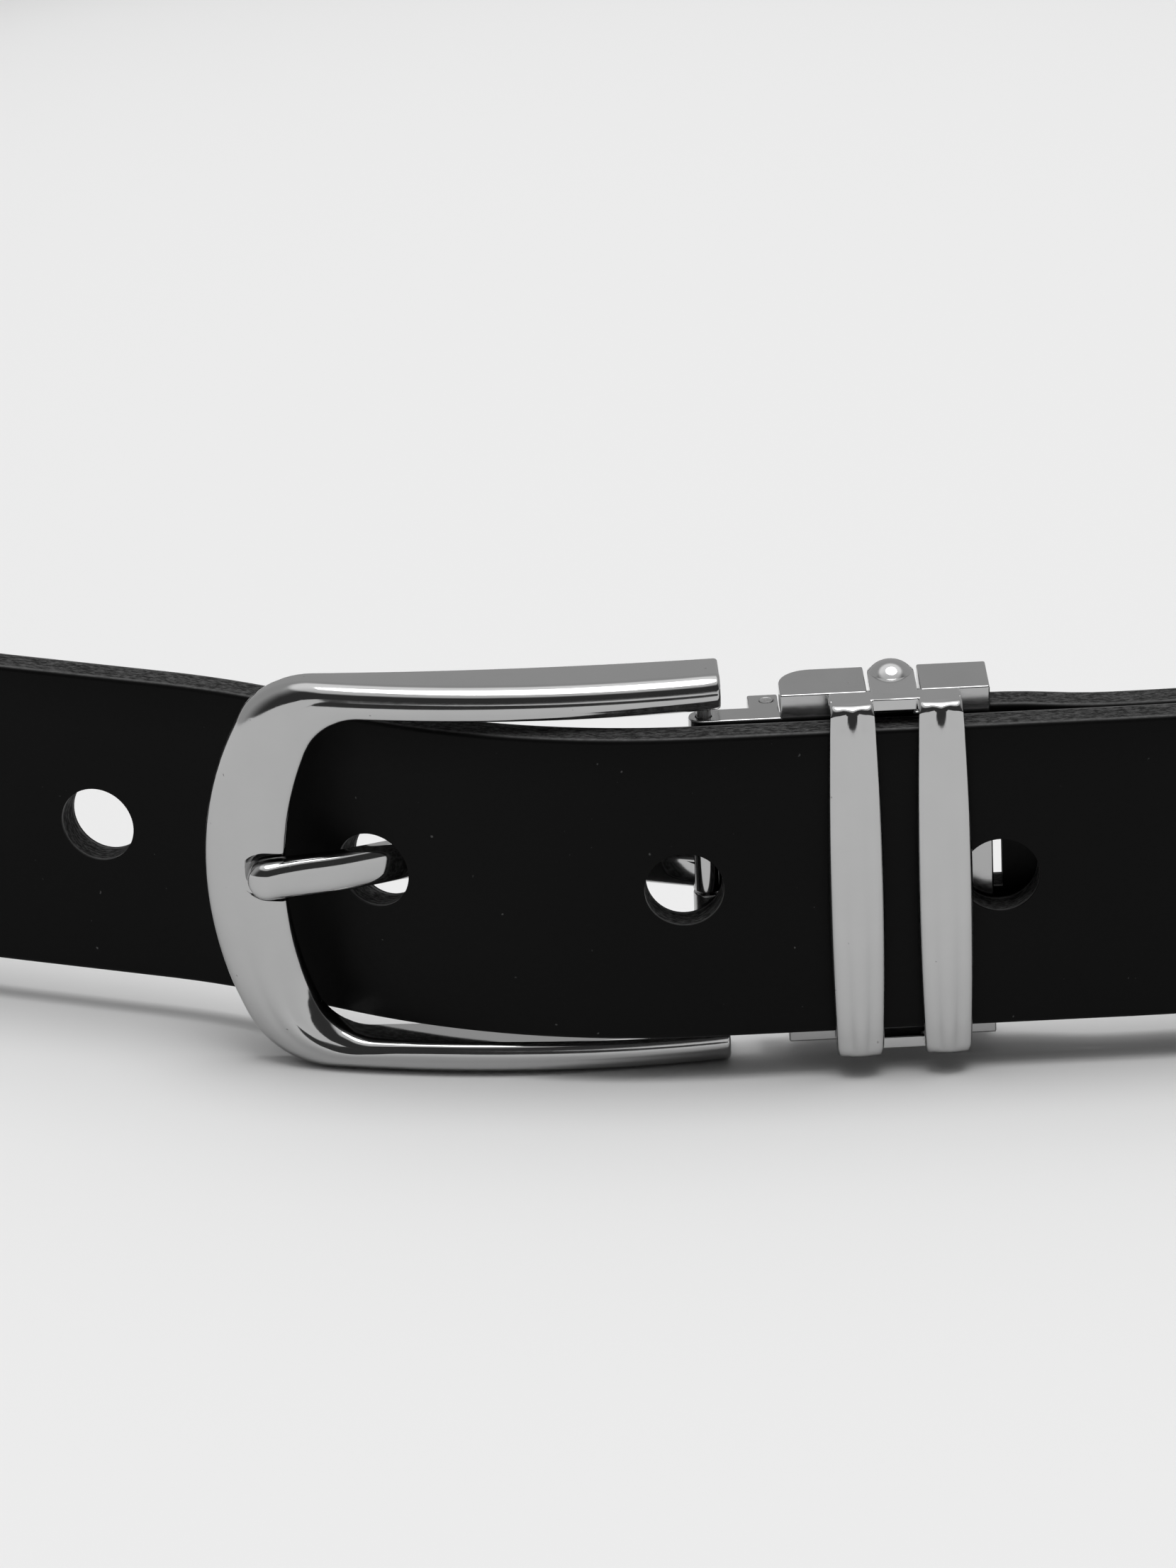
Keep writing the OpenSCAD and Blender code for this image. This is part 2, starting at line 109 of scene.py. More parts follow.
# Hinge and clamp
AXLE_D = 1.4 * MM
RUNNING_FIT = 0.05 * MM
KNUCKLE_WALL = 0.7 * MM
KNUCKLE_R = AXLE_D / 2 + KNUCKLE_WALL
BLOCK_FRONT = STRAP_T + SOFT_GAP
WEB_T = 1 * MM
CLAMP_X = 7 * MM
CLAMP_LEN = 19.2 * MM
CLAMP_END = CLAMP_X + CLAMP_LEN
CLAMP_STOP = 0.7 * MM
HELD_FRONT = BLOCK_FRONT + WEB_T + SOFT_GAP
WALL_H = 2.1 * MM
CLAMP_TOP = STRAP_W / 2 + SOFT_GAP + WALL_H

# Frame
FRAME_H = 38.6 * MM
FRAME_LEN = 47.8 * MM
BAR_W = 7.4 * MM
LEG_H = 3.2 * MM
FRAME_D = 6 * MM
LEG_PAST = 1.6 * MM
FRAME_FRONT_R = 90 * MM
FRAME_BACK_R = 260 * MM
FRAME_CORNER = 8 * MM
OPENING_CORNER = 5.6 * MM
END_BOW_R = 34 * MM
APEX_X = -10.8 * MM
FRAME_COVER = 0.9 * MM
FRAME_FRONT = AXLE_Y - KNUCKLE_R - FRAME_COVER
FRAME_LEFT = LEG_PAST - FRAME_LEN
OPENING_LEFT = FRAME_LEFT + BAR_W
OPENING_H = FRAME_H - 2 * LEG_H
AXLE_SEAT = 1.8 * MM

# Prong
PRONG_W = 3.8 * MM
PRONG_T = 2.1 * MM
PRONG_REST_GAP = 0.15 * MM
PRONG_RISE = 20
PRONG_DIVE = 20
PRONG_LEVEL = 12
PRONG_SHANK = 18 * MM
PRONG_BEND_R = 13 * MM
PRONG_SLOPE = 7.5 * MM
PRONG_LEVEL_R = 16 * MM
PRONG_LIE = 4.4 * MM

# Keeper
KEEPER_INSET = 3.8 * MM
KEEPER_X = CLAMP_X + KEEPER_INSET
KEEPER_W = 13.2 * MM
KEEPER_BAR_W = 5.1 * MM
KEEPER_BAR_R = 300 * MM
KEEPER_BAR_D = 1.9 * MM
KEEPER_PLATE_H = 1.2 * MM
KEEPER_BRIDGE = 2 * MM
KEEPER_BACK = BLOCK_FRONT - METAL_GAP
KEEPER_PROUD = 0.1 * MM
KEEPER_TOP = CLAMP_TOP + KEEPER_PROUD
KEEPER_MID = KEEPER_X + KEEPER_W / 2
KEEPER_FRONT = -SOFT_GAP - KEEPER_BAR_D
KEEPER_LOW_SHARE = 0.03
KEEPER_LOW = -STRAP_W * KEEPER_LOW_SHARE
TONGUE_Z = KEEPER_TOP - KEEPER_PLATE_H
PLATE_INSET = KEEPER_BAR_R - math.sqrt(KEEPER_BAR_R ** 2 - (KEEPER_TOP - KEEPER_LOW) ** 2)
TAB_W = 4.3 * MM
TAB_LEN = 6.9 * MM
TAB_END = KEEPER_BACK + TAB_LEN
RIVET_Y = TAB_END - TAB_W / 2
RIVET_D = 1.2 * MM


# ---- Runs: a run is a list of (length, degrees turned to the left), a place is (x, y, heading) ----

def arc(r, turn):
    """A stretch of a run that turns through an angle at a radius."""
    return (r * math.radians(abs(turn)), turn)


def ahead(p, seg, length=None):
    """The place after a stretch of a run, or after its first part."""
    x, y, h = p
    full, turn = seg
    length = full if length is None else length
    if turn == 0:
        return (x + length * math.cos(h), y + length * math.sin(h), h)
    r = full / math.radians(turn)
    end = h + length / r
    return (x + r * (math.sin(end) - math.sin(h)), y + r * (math.cos(h) - math.cos(end)), end)


def total(run):
    return sum(length for length, _ in run)


def at(p, run, length):
    """The place at a distance along a run. Before its start and past its end it goes straight on."""
    if length < 0:
        return ahead(p, (1, 0), length)
    for seg in run:
        if length <= seg[0]:
            return ahead(p, seg, length)
        length -= seg[0]
        p = ahead(p, seg)
    return ahead(p, (1, 0), length)


def finish_of(p, run):
    """The place at the end of a run."""
    for seg in run:
        p = ahead(p, seg)
    return p


def widened(run, by):
    """The run beside another run, on the outside of its turns to the left."""
    return [(length + by * math.radians(turn), turn) for length, turn in run]


def strap_run():
    """The strap's middle line.

    Gives its start, its stretches, how far along it the hole in use lies, its length and the
    length of its clamped stretch.
    """
    climb_end = (CLIMB_END_X, STRAP_T / 2)
    climb_r = CREST_R - STRAP_T / 2
    over_prong = [(BEHIND_BAR, 0), arc(CREST_R, APPROACH - CLIMB), (CREST_FLAT, 0),
                  arc(climb_r, CLIMB)]
    move = finish_of((0, 0, -math.radians(APPROACH)), over_prong)
    left = (climb_end[0] - move[0], climb_end[1] - move[1])

    clamped_y = HELD_FRONT + STRAP_T / 2
    joined_y = STRAP_T + SOFT_GAP + STRAP_T / 2
    settle_turn = math.degrees(math.acos(1 - (clamped_y - joined_y) / (2 * SETTLE_R)))
    clamped = (CLAMP_LEN - CLAMP_STOP, 0)
    settle = [arc(SETTLE_R, -settle_turn), arc(SETTLE_R, settle_turn)]
    start = (CLAMP_END - clamped[0], clamped_y, 0)
    front_right = finish_of(start, [clamped] + settle)

    right_front = [arc(FRONT_R, WIDE_TURN), arc(SIDE_R, NARROW_TURN)]
    right_back = [arc(SIDE_R, NARROW_TURN), arc(BACK_R, WIDE_TURN)]
    left_back = [arc(BACK_R, WIDE_TURN), arc(SIDE_R, NARROW_TURN), (SIDE_FLAT, 0)]
    left_front = [arc(SIDE_R, NARROW_TURN), arc(FRONT_R, WIDE_TURN - APPROACH)]
    bends = finish_of(front_right, right_front + right_back + left_back + left_front)
    right_flat = (left[1] - bends[1], 0)
    back_flat = (bends[0] - left[0], 0)
    around = right_front + [right_flat] + right_back + [back_flat] + left_back + left_front
    loop = [clamped] + settle + around + over_prong

    used_hole = total(loop) - arc(climb_r, HOLE_TURN)[0]
    length = used_hole + HOLES_EACH_SIDE * HOLE_PITCH + TAIL_END
    tail = [(front_right[0] - climb_end[0], 0)] + widened(around, STRAP_T + SOFT_GAP)
    return start, loop + tail, used_hole, length, clamped[0]


# ---- Modelling ----

FINE_SIDES = 96
PUNCH_SIDES = 64
RIVET_SIDES = 48
TIP_SIDES = 256
UP_AXIS = 2
CROWN_STEPS = 8


def pick(piece):
    """Selects one piece alone."""
    bpy.ops.object.select_all(action="DESELECT")
    piece.select_set(True)
    bpy.context.view_layer.objects.active = piece


def new_piece(name):
    """Names the piece that was just made."""
    piece = bpy.context.active_object
    piece.name = piece.data.name = name
    return piece


def bake_place(piece):
    """Leaves the object at the origin, with its place in its mesh."""
    pick(piece)
    bpy.ops.object.transform_apply(location=True, rotation=True, scale=True)
    return piece


def block(name, low, high):
    """A box between two corners."""
    low, high = Vector(low), Vector(high)
    bpy.ops.object.select_all(action="DESELECT")
    bpy.ops.mesh.primitive_cube_add(size=1, location=(low + high) / 2)
    piece = new_piece(name)
    piece.scale = high - low
    return bake_place(piece)


def rod(name, middle, r, length, axis="Z", sides=FINE_SIDES):
    """A round bar about an axis through its middle."""
    turn = {"X": (0, math.pi / 2, 0), "Y": (math.pi / 2, 0, 0), "Z": (0, 0, 0)}[axis]
    bpy.ops.object.select_all(action="DESELECT")
    bpy.ops.mesh.primitive_cylinder_add(vertices=sides, radius=r, depth=length,
                                        location=middle, rotation=turn)
    return bake_place(new_piece(name))


def apply_all(piece):
    """Applies every modifier, in order."""
    pick(piece)
    for modifier in list(piece.modifiers):
        bpy.ops.object.modifier_apply(modifier=modifier.name)


def combine(piece, tool, how="DIFFERENCE"):
    """Cuts, joins or intersects a piece with a tool, which is used up."""
    pick(piece)
    modifier = piece.modifiers.new(how.lower(), "BOOLEAN")
    modifier.operation = how
    modifier.solver = "EXACT"
    modifier.object = tool
    apply_all(piece)
    bpy.data.objects.remove(tool, do_unlink=True)
    return piece


def choose(piece, kind, rule):
    """In edit mode, selects the edges or faces that a rule picks."""
    pick(piece)
    bpy.ops.object.mode_set(mode="EDIT")
    bpy.ops.mesh.select_mode(type=kind)
    bpy.ops.mesh.select_all(action="DESELECT")
    mesh = bmesh.from_edit_mesh(piece.data)
    for part in mesh.edges if kind == "EDGE" else mesh.faces:
        part.select_set(bool(rule(part)))
    bmesh.update_edit_mesh(piece.data)


def leave_edit():
    bpy.ops.object.mode_set(mode="OBJECT")


def middle_of(edge):
    return (edge.verts[0].co + edge.verts[1].co) / 2


def runs_along(edge, axis):
    d = (edge.verts[1].co - edge.verts[0].co).normalized()
    return abs(d[axis]) > 0.999


def is_sharp(edge, degrees):
    return len(edge.link_faces) == 2 and edge.calc_face_angle(0) > math.radians(degrees)


def bevel_edges(piece, width, segments, rule):
    """Rounds the edges that a rule picks."""
    choose(piece, "EDGE", rule)
    bpy.ops.mesh.bevel(offset=width, offset_type="OFFSET", segments=segments, profile=0.5,
                       affect="EDGES", clamp_overlap=False)
    leave_edit()
    return piece


def soften(piece, width, segments=3, degrees=40):
    """A small round along every sharp edge."""
    modifier = piece.modifiers.new("round", "BEVEL")
    modifier.width = width
    modifier.segments = segments
    modifier.limit_method = "ANGLE"
    modifier.angle_limit = math.radians(degrees)
    modifier.use_clamp_overlap = False
    apply_all(piece)
    return piece


def tidy_mesh(piece, distance, degrees):
    """Merges points that lie together and joins faces that lie in one plane."""
    pick(piece)
    bpy.ops.object.mode_set(mode="EDIT")
    bpy.ops.mesh.select_all(action="SELECT")
    bpy.ops.mesh.remove_doubles(threshold=distance)
    bpy.ops.mesh.dissolve_limited(angle_limit=math.radians(degrees))
    leave_edit()
    return piece


def smooth(piece, degrees=35, weighted=True):
    """Shades a piece smoothly, but for its sharp edges."""
    pick(piece)
    bpy.ops.object.shade_smooth_by_angle(angle=math.radians(degrees))
    if weighted:
        modifier = piece.modifiers.new("even", "WEIGHTED_NORMAL")
        modifier.keep_sharp = True
        modifier.weight = 100
        apply_all(piece)
    return piece


def place(piece, body, slot, material, *nodes):
    """Sets a finished piece in its place on the belt, gives it its material and hides the nodes that
    it stands for.
    """
    piece.matrix_world = BUCKLE
    bake_place(piece)
    piece.data.materials.clear()
    piece.data.materials.append(material)
    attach(piece, body)
    if nodes:
        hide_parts(*nodes)
    return piece


def loft(name, rings):
    """A closed form drawn through rings of points, all with the same number of points."""
    sides, levels = len(rings[0]), len(rings) - 1
    bpy.ops.object.select_all(action="DESELECT")
    bpy.ops.mesh.primitive_cylinder_add(vertices=sides, radius=1, depth=2, end_fill_type="NGON")
    piece = new_piece(name)
    choose(piece, "EDGE", lambda e: runs_along(e, UP_AXIS))
    bpy.ops.mesh.subdivide(number_cuts=levels - 1)
    leave_edit()
    for vertex in piece.data.vertices:
        x, y, z = vertex.co
        side = round(math.atan2(x, y) / (2 * math.pi) * sides) % sides
        vertex.co = rings[round((z + 1) / 2 * levels)][side]
    pick(piece)
    bpy.ops.object.mode_set(mode="EDIT")
    bpy.ops.mesh.select_all(action="SELECT")
    bpy.ops.mesh.remove_doubles(threshold=MM / 1000)
    bpy.ops.mesh.normals_make_consistent(inside=False)
    leave_edit()
    return piece


def round_corner(centre, r, low, high, steps):
    """Points on a round corner, between two directions in degrees."""
    turns = (math.radians(low + (high - low) * k / steps) for k in range(steps + 1))
    return [(centre[0] + r * math.cos(a), centre[1] + r * math.sin(a)) for a in turns]


def crown(low, high, rise):
    """Points on a low crown across a section, between the rounds at its two sides."""
    return [(low + (high - low) * k / CROWN_STEPS, -rise * math.sin(math.pi * k / CROWN_STEPS))
            for k in range(1, CROWN_STEPS)]


def bend(piece, start, run, length, step=0.5 * MM):
    """Bends a piece made straight along X so that it follows a run."""
    line = bpy.data.curves.new("bending line", "CURVE")
    line.dimensions = "2D"
    spline = line.splines.new("POLY")
    count = math.ceil(length / step)
    spline.points.add(count)
    for i, point in enumerate(spline.points):
        x, y, _ = at(start, run, length * i / count)
        point.co = (x, y, 0, 1)
    guide = bpy.data.objects.new("bending line", line)
    bpy.context.scene.collection.objects.link(guide)
    modifier = piece.modifiers.new("bend", "CURVE")
    modifier.object = guide
    modifier.deform_axis = "POS_X"
    apply_all(piece)
    bpy.data.objects.remove(guide, do_unlink=True)
    return piece


def keep_flat_places(piece):
    """Stores where each point of the leather lies before it is bent, for its grain."""
    flat = piece.data.attributes.new("flat", "FLOAT_VECTOR", "POINT")
    for i, vertex in enumerate(piece.data.vertices):
        flat.data[i].vector = vertex.co


# ---- Materials ----

class Wire:
    """A socket's value, for sums written as Python expressions."""

    def __init__(self, tree, socket):
        self.tree, self.socket = tree, socket

    def maths(self, operation, *values):
        step = self.tree.nodes.new("ShaderNodeMath")
        step.operation = operation
        for socket, value in zip(step.inputs, values):
            feed(self.tree, socket, value)
        return Wire(self.tree, step.outputs[0])

    def __add__(self, other):
        return self.maths("ADD", self, other)

    def __radd__(self, other):
        return self.maths("ADD", other, self)

    def __sub__(self, other):
        return self.maths("SUBTRACT", self, other)

    def __rsub__(self, other):
        return self.maths("SUBTRACT", other, self)

    def __mul__(self, other):
        return self.maths("MULTIPLY", self, other)

    def __rmul__(self, other):
        return self.maths("MULTIPLY", other, self)

    def __abs__(self):
        return self.maths("ABSOLUTE", self)


def feed(tree, socket, value):
    """Links a wire to a socket, or sets the socket to a constant."""
    if isinstance(value, Wire):
        tree.links.new(value.socket, socket)
    else:
        socket.default_value = value


# Sockets of a Mix node that mixes colours
MIX_SHARE, MIX_FIRST, MIX_SECOND, MIX_RESULT = 0, 6, 7, 2


class Finish:
    """A material, or the world, and the nodes that it is wired from."""

    def __init__(self, owner):
        owner.use_nodes = True
        self.owner = owner
        self.tree = owner.node_tree
        self.shader = self.tree.nodes.get("Principled BSDF")

    def node(self, kind, settings=(), inputs=(), output=0):
        """Any node: its settings are set first, then the values or links of its sockets."""
        made = self.tree.nodes.new(kind)
        for name, value in dict(settings).items():
            if name == "stops":
                ramp = made.color_ramp.elements
                while len(ramp) < len(value):
                    ramp.new(0.5)
                for stop, (position, colour) in zip(ramp, value):
                    stop.position = position
                    stop.color = colour
            else:
                setattr(made, name, value)
        for name, value in dict(inputs).items():
            feed(self.tree, made.inputs[name], value)
        return Wire(self.tree, made.outputs[output])

    def place(self):
        """Where a point lies on the belt."""
        return self.node("ShaderNodeTexCoord", output="Object")

    def stretched(self, vector, scale):
        return self.node("ShaderNodeVectorMath", {"operation": "MULTIPLY"}, {0: vector, 1: scale})

    def noise(self, vector, scale, detail=2.0, roughness=0.5):
        return self.node("ShaderNodeTexNoise", {}, {"Vector": vector, "Scale": scale,
                         "Detail": detail, "Roughness": roughness}, "Fac")

    def between(self, value, low, high, out_low=0.0, out_high=1.0):
        """A soft step from one level to another."""
        return self.node("ShaderNodeMapRange", {"interpolation_type": "SMOOTHSTEP"},
                         {"Value": value, "From Min": low, "From Max": high,
                          "To Min": out_low, "To Max": out_high})

    def mixed(self, share, first, second):
        return self.node("ShaderNodeMix", {"data_type": "RGBA"},
                         {MIX_SHARE: share, MIX_FIRST: first, MIX_SECOND: second}, MIX_RESULT)

    def bump(self, height, strength, distance):
        return self.node("ShaderNodeBump", {}, {"Height": height, "Strength": strength,
                         "Distance": distance})

    def set(self, **values):
        """Feeds the shader's sockets, and gives back the material."""
        for name, value in values.items():
            feed(self.tree, self.shader.inputs[name.replace("_", " ")], value)
        return self.owner


def grey(level):
    return (level, level, level, 1.0)


def new_finish(name):
    return Finish(bpy.data.materials.new(name))


# Noise cells to the metre, and how much closer the fibres lie through the strap than along it
FIBRE_SCALE, PORE_SCALE, CLOUD_SCALE, SPECK_SCALE = 1700, 2600, 45, 1500
FIBRE_STRETCH = (1.0, 2.6, 1.0)


def leather(name, surface, face, face_rough, pore_depth):
    """Dyed leather. surface is the flat depth of its finished side. Below it the cut is fibrous."""
    f = new_finish(name)
    flat = f.node("ShaderNodeAttribute", {"attribute_name": "flat"}, output="Vector")
    depth = abs(f.node("ShaderNodeSeparateXYZ", {}, {0: flat}, "Y") - surface)
    cut = f.between(depth, 0.25 * MM, 0.6 * MM)
    corner = f.between(depth, 0.12 * MM, 0.3 * MM) * (1 - f.between(depth, 0.3 * MM, 0.55 * MM))
    fibres = f.noise(f.stretched(flat, FIBRE_STRETCH), FIBRE_SCALE, 4, 0.65)
    pores = f.noise(flat, PORE_SCALE, 3, 0.6)
    cloudy = f.noise(flat, CLOUD_SCALE, 3, 0.5)
    specks = f.between(f.noise(flat, SPECK_SCALE, 1, 0.4), 0.8, 0.86)
    skin = f.mixed(cloudy * 0.5 + pores * 0.25, grey(face * 0.75), grey(face * 1.35))
    skin = f.mixed(specks * 0.5, skin, grey(0.16))
    fringe = f.mixed(f.between(fibres, 0.35, 0.72), grey(0.012), grey(0.085))
    colour = f.mixed(cut, skin, fringe)
    colour = f.mixed(corner * fibres * 0.8, colour, grey(0.2))
    rough = f.between(cloudy * 0.6 + pores * 0.4, 0.3, 0.7, face_rough - 0.05, face_rough + 0.07)
    height = (1 - cut) * (pores * pore_depth + cloudy * 0.3) + cut * fibres * 2.5
    return f.set(Base_Color=colour, Roughness=rough + cut * 0.4, Specular_IOR_Level=0.08,
                 Normal=f.bump(height, 0.5, 0.05 * MM))


# Noise cells to the metre. Hairlines are long in X, and the lines of a drawn wire in Z
PLATE_CLOUD_SCALE, HAIR_SCALE, PIT_SCALE, RIPPLE_SCALE, WIRE_SCALE = 220, 5200, 1900, 90, 4200
HAIR_STRETCH = (0.12, 1.0, 1.0)
WIRE_STRETCH = (1.0, 1.0, 0.08)


def plated(name, level, rough, ripple):
    """Polished nickel plate with hairlines and a very slight ripple."""
    f = new_finish(name)
    where = f.place()
    cloudy = f.noise(where, PLATE_CLOUD_SCALE, 3, 0.5)
    hairs = f.noise(f.stretched(where, HAIR_STRETCH), HAIR_SCALE, 3, 0.7)
    pits = f.between(f.noise(where, PIT_SCALE, 1, 0.4), 0.79, 0.84)
    colour = f.mixed(cloudy * 0.7 + hairs * 0.3, grey(level * 0.94), grey(level * 1.05))
    colour = f.mixed(pits * 0.5, colour, grey(level * 0.35))
    roughness = f.between(cloudy * 0.5 + hairs * 0.5, 0.3, 0.7, rough * 0.75, rough * 1.35)
    height = f.noise(where, RIPPLE_SCALE, 2, 0.5) * ripple + hairs * 0.01
    return f.set(Base_Color=colour, Metallic=1.0, Roughness=roughness + pits * 0.2,
                 Normal=f.bump(height, 0.3, 0.1 * MM))


def drawn_steel(name):
    """Drawn wire with fine lines along it, from the die."""
    f = new_finish(name)
    where = f.place()
    lines = f.noise(f.stretched(where, WIRE_STRETCH), WIRE_SCALE, 3, 0.6)
    colour = f.mixed(lines, grey(0.3), grey(0.52))
    return f.set(Base_Color=colour, Metallic=1.0, Roughness=f.between(lines, 0.3, 0.7, 0.22, 0.42),
                 Normal=f.bump(lines, 0.25, 0.02 * MM))


GRAIN = leather("grain leather", -STRAP_T / 2, 0.0035, 0.42, 0.35)
LINING = leather("lining leather", STRAP_T / 2, 0.011, 0.6, 0.9)
FRAME_PLATE = plated("polished frame plate", 0.47, 0.085, 1.0)
KEEPER_PLATE = plated("polished keeper plate", 0.5, 0.1, 0.8)
CLAMP_PLATE = plated("clamp plate", 0.44, 0.16, 1.2)
STEEL = drawn_steel("drawn steel")


# ---- Strap ----

start, strap, used_hole, strap_length, clamped = strap_run()
HOLE_PLACES = [used_hole + i * HOLE_PITCH for i in range(-HOLES_EACH_SIDE, HOLES_EACH_SIDE + 1)]
PLY_CELL = 2 * MM
CELLS_ACROSS = 6
GRAIN_EDGE, LINING_EDGE = 0.45 * MM, 0.3 * MM


def tip_waste():
    """What is cut away beside the pointed end of the flat strap."""
    r = (TIP_LEN ** 2 + STRAP_W ** 2 / 4) / STRAP_W
    waste = block("tip waste", (strap_length - TIP_LEN, -STRAP_T, -STRAP_W),
                  (strap_length + STRAP_T, STRAP_T, STRAP_W))
    keep = [rod("tip side", (strap_length - TIP_LEN, 0, side * (r - STRAP_W / 2)), r,
                3 * STRAP_T, "Y", TIP_SIDES) for side in (-1, 1)]
    return combine(waste, combine(keep[0], keep[1], "INTERSECT"))


def ply(name, low, high, finished_side, edge_round):
    """One ply of the strap, cut flat, punched and then led round the waist."""
    bpy.ops.object.select_all(action="DESELECT")
    bpy.ops.mesh.primitive_grid_add(x_subdivisions=round(strap_length / PLY_CELL),
                                    y_subdivisions=CELLS_ACROSS, size=1,
                                    location=(strap_length / 2, (low + high) / 2, 0),
                                    rotation=(math.pi / 2, 0, 0))
    piece = new_piece(name)
    piece.scale = (strap_length, STRAP_W, 1)
    bake_place(piece)
    skin = piece.modifiers.new("thickness", "SOLIDIFY")
    skin.thickness = high - low
    skin.offset = 0
    apply_all(piece)
    combine(piece, tip_waste())
    tidy_mesh(piece, 0.02 * MM, 0.0)
    bevel_edges(piece, edge_round, 3, lambda e: is_sharp(e, 50) and all(
        abs(v.co.y - finished_side) < 0.01 * MM for v in e.verts))
    for x in HOLE_PLACES:
        combine(piece, rod("punch", (x, 0, 0), HOLE_D / 2, 3 * STRAP_T, "Y", PUNCH_SIDES))
    slot_end = clamped + SLOT_PAST
    combine(piece, block("slot punch", (slot_end - SLOT_LEN, -STRAP_T, -SLOT_H / 2),
                         (slot_end, STRAP_T, SLOT_H / 2)))
    keep_flat_places(piece)
    bend(piece, start, strap, strap_length)
    return smooth(piece, 40, False)


SPLIT = -STRAP_T / 2 + FACE_T
face = ply("grain_ply", -STRAP_T / 2, SPLIT, -STRAP_T / 2, GRAIN_EDGE)
lining = ply("lining_ply", SPLIT, STRAP_T / 2, STRAP_T / 2, LINING_EDGE)
place(face, "belt", "grain_leather", GRAIN, "strap_face")
place(lining, "belt", "lining_leather", LINING, "strap_lining")


# ---- Buckle frame ----

LEG_STEPS, CORNER_STEPS, BOW_STEPS = 22, 14, 22
RIM_STEPS, LIP_STEPS, BACK_STEPS = 9, 7, 3
FRAME_CROWN = 0.22 * MM
# Rounds of the section at their fullest: outer rim, inner lip, back edges. Then the leg ends'
RIM_W, RIM_D = 2.3 * MM, 1.7 * MM
LIP = 0.8 * MM
FRAME_BACK_ROUND = 0.4 * MM
LEG_END_ROUND = 0.35 * MM
# More room in the hollow than the prong needs, which shows as a dark ring
HOLLOW_MORE = 0.2 * MM
# The lip is wider and deeper about the inner corner at the lower left
LOW_CORNER = (OPENING_LEFT + 2.2 * MM, -OPENING_H / 2 + 3.2 * MM)
LOW_CORNER_REACH = 11 * MM
LIP_MORE_W, LIP_MORE_D = 1.9 * MM, 0.9 * MM


def bowed_outline(left, right, height, corner):
    """The upper half of an outline of the frame's front view, from its right end to its left."""
    bow_x = left + END_BOW_R
    corner_z = height / 2 - corner
    corner_x = bow_x - math.sqrt((END_BOW_R - corner) ** 2 - corner_z ** 2)
    meet = math.degrees(math.atan2(corner_z, corner_x - bow_x))
    leg = [(right + (corner_x - right) * k / LEG_STEPS, height / 2) for k in range(LEG_STEPS)]
    turn = round_corner((corner_x, corner_z), corner, 90, meet, CORNER_STEPS)[:-1]
    bow = round_corner((bow_x, 0), END_BOW_R, meet, 180, BOW_STEPS)
    return leg + turn + bow


def whole_outline(*sizes):
    """Both halves of an outline, from leg end to leg end."""
    upper = bowed_outline(*sizes)
    return upper + [(x, -z) for x, z in reversed(upper[:-1])]


def front_y(x):
    """The frame's curved front, as seen from above."""
    return FRAME_FRONT + FRAME_FRONT_R - math.sqrt(FRAME_FRONT_R ** 2 - (x - APEX_X) ** 2)


def back_y(x):
    """The frame's curved back, as seen from above."""
    return (FRAME_FRONT + FRAME_D + FRAME_BACK_R
            - math.sqrt(FRAME_BACK_R ** 2 - (x - APEX_X) ** 2))


def frame_ring(outer, inner):
    """One section of the frame, from its outer edge to its inner one and front to back."""
    wide = math.dist(outer, inner)
    deep = back_y(outer[0]) - front_y(outer[0])
    rim_w, rim_d = min(RIM_W, 0.42 * wide), min(RIM_D, 0.85 * deep)
    near = max(0, 1 - math.dist(inner, LOW_CORNER) / LOW_CORNER_REACH)
    near *= near * (3 - 2 * near)
    lip_w = min(LIP + LIP_MORE_W * near, 0.45 * wide)
    lip_d = LIP + LIP_MORE_D * near
    back_r = min(FRAME_BACK_ROUND, 0.12 * deep)
    rim = [(rim_w * (1 + across), rim_d * (1 + depth))
           for across, depth in round_corner((0, 0), 1, 180, 270, RIM_STEPS)]
    lip = [(wide - lip_w * (1 - across), lip_d * (1 + depth))
           for across, depth in round_corner((0, 0), 1, 270, 360, LIP_STEPS)]
    front = rim + crown(rim_w, wide - lip_w, FRAME_CROWN * wide / BAR_W) + lip
    back = (round_corner((wide - back_r, -back_r), back_r, 0, 90, BACK_STEPS)
            + round_corner((back_r, -back_r), back_r, 90, 180, BACK_STEPS))
    points = []
    for section, face in ((front, front_y), (back, back_y)):
        for across, depth in section:
            share = across / wide
            x = outer[0] + (inner[0] - outer[0]) * share
            z = outer[1] + (inner[1] - outer[1]) * share
            points.append((x, face(x) + depth, z))
    return points


# The prong's middle line, from the axle to the middle of its rounded tip
prong_run = [(PRONG_SHANK, 0), arc(PRONG_BEND_R, PRONG_RISE + PRONG_DIVE), (PRONG_SLOPE, 0),
             arc(PRONG_LEVEL_R, -PRONG_LEVEL), (PRONG_LIE, 0)]
prong_start = (0, AXLE_Y, math.radians(180 - PRONG_RISE))
prong_length = total(prong_run)
tip_x, tip_y, tip_heading = finish_of(prong_start, prong_run)


def rest_hollow():
    """The hollow in the bar in which the prong's tip lies."""
    r = PRONG_W / 2 + METAL_GAP + HOLLOW_MORE
    back = PRONG_T / 2 + PRONG_REST_GAP + HOLLOW_MORE
    tool = block("hollow", (0, -BAR_W, -r), (BAR_W, back, r))
    end = rod("hollow end", (0, (back - BAR_W) / 2, 0), r, back + BAR_W, "Y", PUNCH_SIDES)
    combine(tool, end, "UNION")
    tool.matrix_world = (Matrix.Translation((tip_x, tip_y, 0))
                         @ Matrix.Rotation(tip_heading + math.pi, 4, "Z"))
    return bake_place(tool)


